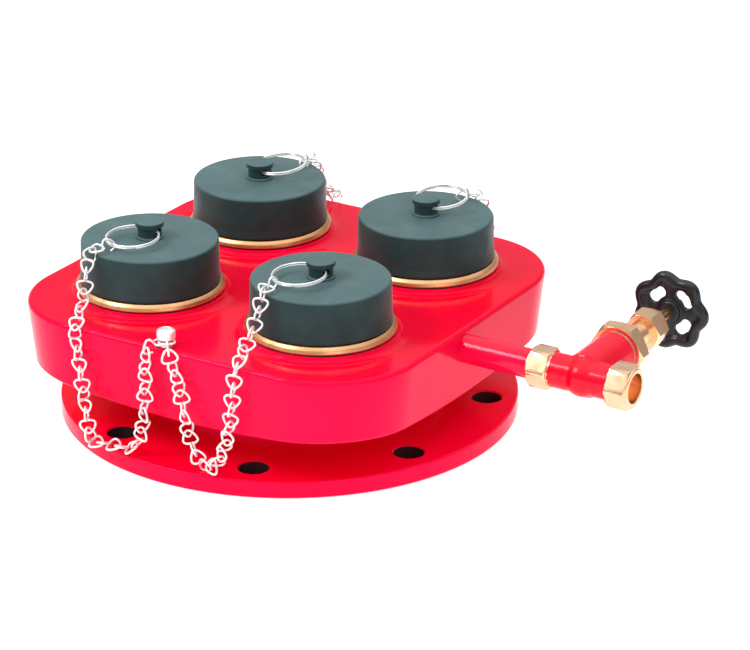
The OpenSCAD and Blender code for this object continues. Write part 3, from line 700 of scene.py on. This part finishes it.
def make_screw(side, half_turn, zinc):
    """Round-headed screw with a shoulder that holds two chains."""
    profile = rounded([(0, 90), (2.3, 90), (2.3, 97), (4.5, 97), (4.5, 98.2), (2.3, 98.2), (2.3, 102.8),
                       (6.7, 102.8, 0.5), (6.8, 108.6, 2.2), (3.2, 110.2, 0.5), (2.9, 106.5), (0, 106.5)], 4)
    turn = Matrix.Rotation(math.pi if half_turn else 0, 4, "Z")
    screw = mesh_object("screw_" + side, *moved(revolve(profile, 48), turn @ at(*SCREW)), zinc, "casting")
    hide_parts("chain_screw_" + side)


# ---------------------------------------------------------------- drain

def make_valve(skin):
    """Casting between the two hexagon ends: barrel, ball and neck, run together."""
    ball = revolve([(BALL_R * math.sin(a), -BALL_R * math.cos(a))
                    for a in (math.pi * i / 24 for i in range(25))], 64)
    core = merged([moved(cylinder(BARREL_R, -27, 27, 64), along_x(VALVE_X)),
                   moved(ball, at(VALVE_X, DRAIN_Y, DRAIN_Z)),
                   moved(cylinder(NECK_D / 2, 0, NECK_L - 0.1, 64), STEM)])
    body = mesh_object("valve_casting", *core, skin)
    weld_smooth(body, 0.7, 9)
    lip = revolve(rounded([(VALVE_BORE_R, 0), (VALVE_LIP_R, 0, 0.8), (VALVE_LIP_R, 4, 1.4),
                           (VALVE_BORE_R, 4, 0.6), (VALVE_BORE_R, 0)], 4), 64)
    ends = merged([moved(hexagon(*INNER_HEX, VALVE_BORE_R), along_x(VALVE_X - 40)),
                   moved(hexagon(*OUTER_HEX, VALVE_BORE_R), along_x(VALVE_X + 22)),
                   moved(lip, along_x(VALVE_X + 36))])
    join(body, mesh_object("valve_ends", *ends, skin, angle=25))
    body.data.set_sharp_from_angle(angle=math.radians(40))
    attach(body, "casting")
    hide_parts("drain_valve_body")


def hexagon(across, height, bore, chamfer=1.3, steps=96):
    """A hexagon nut with turned corners and a bore, along +Z."""
    flat_r, corner_r = across / 2, across / 2 / math.cos(math.pi / 6)
    angles = [2 * math.pi * i / steps for i in range(steps)]
    low = [chamfer * share for share in (0, 0.25, 0.6, 1)]
    rings = []
    for z in [*low, *(height - z for z in reversed(low))]:
        edge = min(z, height - z)
        turned = flat_r + edge / chamfer * (corner_r - flat_r) if edge < chamfer else 99
        ring = []
        for a in angles:
            r = min(flat_r / math.cos((a + math.pi / 6) % (math.pi / 3) - math.pi / 6), turned)
            ring.append((r * math.cos(a), r * math.sin(a), z))
        rings.append(ring)
    for r, z in ((bore + 0.8, height), (bore, height - 0.8), (bore, 0.8), (bore + 0.8, 0)):
        rings.append([(r * math.cos(a), r * math.sin(a), z) for a in angles])
    return loft([*rings, rings[0]], closed_ends=False)


def make_handwheel(enamel):
    """Cast wheel: a fat lobed rim round a dished web with windows."""
    z = WHEEL_Z
    rim = []
    for a in (2 * math.pi * i / 168 for i in range(168)):
        r = WHEEL_R - 6.2 + LOBE_DEPTH * math.cos(WHEEL_LOBES * a)
        rim.append((r * math.cos(a), r * math.sin(a), z + 4.6))
    hub = revolve([(0, z), (7.5, z), (8.8, z + 1.5), (8.8, z + 9), (7.5, z + 11), (0, z + 11)], 64)
    web = revolve([(0, z + 3), (24, z + 3.2), (24, z + 7), (0, z + 7.4)], 96)
    round_parts = merged([tube(rim, WHEEL_RIM_R, 20, closed=True), hub])
    wheel = mesh_object("handwheel", *moved(round_parts, STEM), enamel)
    disc = mesh_object("disc", *moved(web, STEM), enamel)
    for k in range(WHEEL_WINDOWS):
        for spread in (-0.22, 0, 0.22):
            a = 2 * math.pi * (k + 0.5) / WHEEL_WINDOWS + spread
            place = STEM @ at(WINDOW_PLACE_R * math.cos(a), WINDOW_PLACE_R * math.sin(a))
            cut(disc, moved(cylinder(WINDOW_DRILL_R, z - 2, z + 14, 40), place))
    join(wheel, disc)
    weld_smooth(wheel, 0.55, 7)
    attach(wheel, "drain_wheel")
    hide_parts("drain_handwheel")


def dress_nodes(materials):
    """Gives every CAD node that stays in view its material, and smooth shading where it is round."""
    for name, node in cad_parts.items():
        kind = next((m for prefix, m in materials if name.startswith(prefix)), None)
        if kind and not node.hide_render:
            node.data.materials.clear()
            node.data.materials.append(kind)
            shade(node, 30)


def make_spring(name):
    """A copy of the valve's spring, with a mesh of its own."""
    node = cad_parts["valve_spring_" + name]
    spring = bpy.data.objects.new("spring_" + name, node.data.copy())
    bpy.context.scene.collection.objects.link(spring)
    spring.matrix_world = node.matrix_world.copy()
    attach(spring, "casting")
    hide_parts(node.name)
    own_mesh(spring)


# ---------------------------------------------------------------- scene

def make_floor():
    """A pale floor with painted shade where the flange hides it, that glows white beyond the flange."""
    paper = Shader("paper", **{"Roughness": 0.9, "Specular IOR Level": 0.1, "Emission Color": (1, 1, 1, 1)})
    reach = paper.node("VectorMath", {0: paper.place}, operation="LENGTH").outputs["Value"]
    pale = paper.ramp(paper.noise(2, 2), [(0.3, (0.38, 0.38, 0.38)), (0.7, (0.42, 0.42, 0.42))])
    painted_shade_r, pale_r, glow_r = 0.155, 0.166, 0.1705
    # Where the flange hides the floor its colour is painted dark: painted shade
    paper.set(Base_Color=paper.mix(paper.spread(reach, 0, 1, painted_shade_r, pale_r), (0.1, 0.1, 0.1, 1), pale),
              Emission_Strength=paper.spread(reach, 0.0, 0.85, pale_r, glow_r))
    points, faces = revolve([(0, -0.3), (300, -0.3), (1500, -0.3), (6000, -0.3)], 64)
    floor = mesh_object("floor", points, faces, paper.material)


def make_room(scene):
    """A white room, brightest overhead."""
    world = bpy.data.worlds.new("room")
    scene.world = world
    world.use_nodes = True
    nodes, links = world.node_tree.nodes, world.node_tree.links
    height = nodes.new("ShaderNodeSeparateXYZ")
    links.new(nodes.new("ShaderNodeTexCoord").outputs["Generated"], height.inputs[0])
    sky = nodes.new("ShaderNodeMapRange")
    links.new(height.outputs["Z"], sky.inputs["Value"])
    for socket, value in (("From Min", 0.4), ("From Max", 1.0), ("To Min", 0.38), ("To Max", 2.0)):
        sky.inputs[socket].default_value = value
    links.new(sky.outputs["Result"], nodes["Background"].inputs["Strength"])
    nodes["Background"].inputs["Color"].default_value = (1, 1, 1, 1)


def make_lamps(scene):
    """Round soft lamps, all turned to the casting: watts, then width and place in metres."""
    target = Vector((0.05, 0, 0.06))
    for name, energy, size, place in (("back", 0.5, 1.2, (-0.6, 1.8, 1.0)),
                                      ("key", 18, 0.8, (-0.85, -1.0, 1.35)),
                                      ("fill", 7, 1.4, (2.0, -1.4, 0.35))):
        lamp = bpy.data.lights.new(name, "AREA")
        lamp.energy, lamp.size, lamp.shape = energy, size, "DISK"
        light = bpy.data.objects.new(name, lamp)
        scene.collection.objects.link(light)
        light.location = place
        light.rotation_euler = (target - Vector(place)).to_track_quat("-Z", "Y").to_euler()


def direction(azimuth, elevation):
    """Unit vector towards an azimuth, from -Y towards +X, and an elevation, in degrees."""
    az, el = math.radians(azimuth), math.radians(elevation)
    return Vector((math.sin(az) * math.cos(el), -math.cos(az) * math.cos(el), math.sin(el)))


def make_camera(scene):
    """The photo's view, from above and to the right of the front."""
    data = bpy.data.cameras.new("camera")
    data.sensor_width, data.lens = 36, CAMERA_LENS
    data.clip_start, data.clip_end = 0.1, 50
    camera = bpy.data.objects.new("camera", data)
    scene.collection.objects.link(camera)
    camera.location = direction(*CAMERA_PLACE) * CAMERA_REACH + Vector((0, 0, 0.06))
    aim = (-direction(*CAMERA_LOOK)).to_track_quat("-Z", "Y")
    roll = Quaternion((0, 0, 1), math.radians(CAMERA_ROLL))
    camera.rotation_euler = (aim @ roll).to_euler()
    scene.camera = camera


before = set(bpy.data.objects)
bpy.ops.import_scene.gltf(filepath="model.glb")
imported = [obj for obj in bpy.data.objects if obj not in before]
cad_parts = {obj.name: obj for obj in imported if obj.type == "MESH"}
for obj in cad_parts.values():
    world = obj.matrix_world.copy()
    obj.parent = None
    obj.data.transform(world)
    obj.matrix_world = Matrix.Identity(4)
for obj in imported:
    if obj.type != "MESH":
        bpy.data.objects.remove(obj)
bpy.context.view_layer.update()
stage = bpy.context.scene
stage.view_settings.view_transform = "Standard"
make_floor()
make_room(stage)
make_lamps(stage)
make_camera(stage)

red = red_paint("red_paint", 0.0)
pipe_red = red_paint("pipe_paint", 0.4)
rubber = cap_rubber()
rim_metal = metal("gunmetal", (0.66, 0.33, 0.15), (0.82, 0.47, 0.24), (0.32, 0.45), (1, 1, 12))
pale_brass = metal("pale_brass", (0.95, 0.53, 0.30), (1.0, 0.67, 0.43), (0.18, 0.28), grain=80)
copper = metal("stem_brass", (0.55, 0.27, 0.12), (0.72, 0.42, 0.22), (0.22, 0.36), (1, 14, 1))
zinc = metal("zinc_plate", (0.84, 0.85, 0.85), (0.95, 0.95, 0.94), (0.25, 0.4), grain=500, shine=0.6)
steel = metal("spring_steel", (0.5, 0.5, 0.5), (0.7, 0.7, 0.68), (0.25, 0.4))
enamel = black_enamel()
black = plain("black_rubber", (0.012, 0.012, 0.013), (0.03, 0.03, 0.03))
fibre = plain("fibre", (0.30, 0.27, 0.22), (0.5, 0.46, 0.4))

# The casting's second material is dark, for the bolt holes' bores: painted shade
make_casting(red, plain("bolt_hole_shade", (0.018, 0.004, 0.006), (0.04, 0.008, 0.012), 0.8, 120))
make_inlets(rim_metal)
for inlet in INLETS:
    make_cap(inlet, rubber)
    make_ring(inlet, zinc)
make_chain("front_left", ROUTE_LEFT, False, zinc)
make_chain("front_right", ROUTE_RIGHT, False, zinc)
make_chain("rear_right", ROUTE_LEFT, True, zinc)
make_chain("rear_left", ROUTE_RIGHT, True, zinc)
make_screw("front", False, zinc)
make_screw("rear", True, zinc)
make_valve(valve_skin())
make_handwheel(enamel)
dress_nodes([("inlet_gasket", black), ("valve_seal", black), ("valve_disc", pale_brass),
             ("valve_nut", pale_brass), ("valve_spring", steel), ("drain_pipe", pipe_red),
             ("drain_bonnet_gasket", fibre), ("drain_bonnet", pale_brass), ("drain_gland_packing", fibre),
             ("drain_gland_nut", pale_brass), ("drain_stem", copper), ("drain_gate", pale_brass),
             ("drain_wheel_nut", pale_brass)])
for name in INLETS:
    make_spring(name)
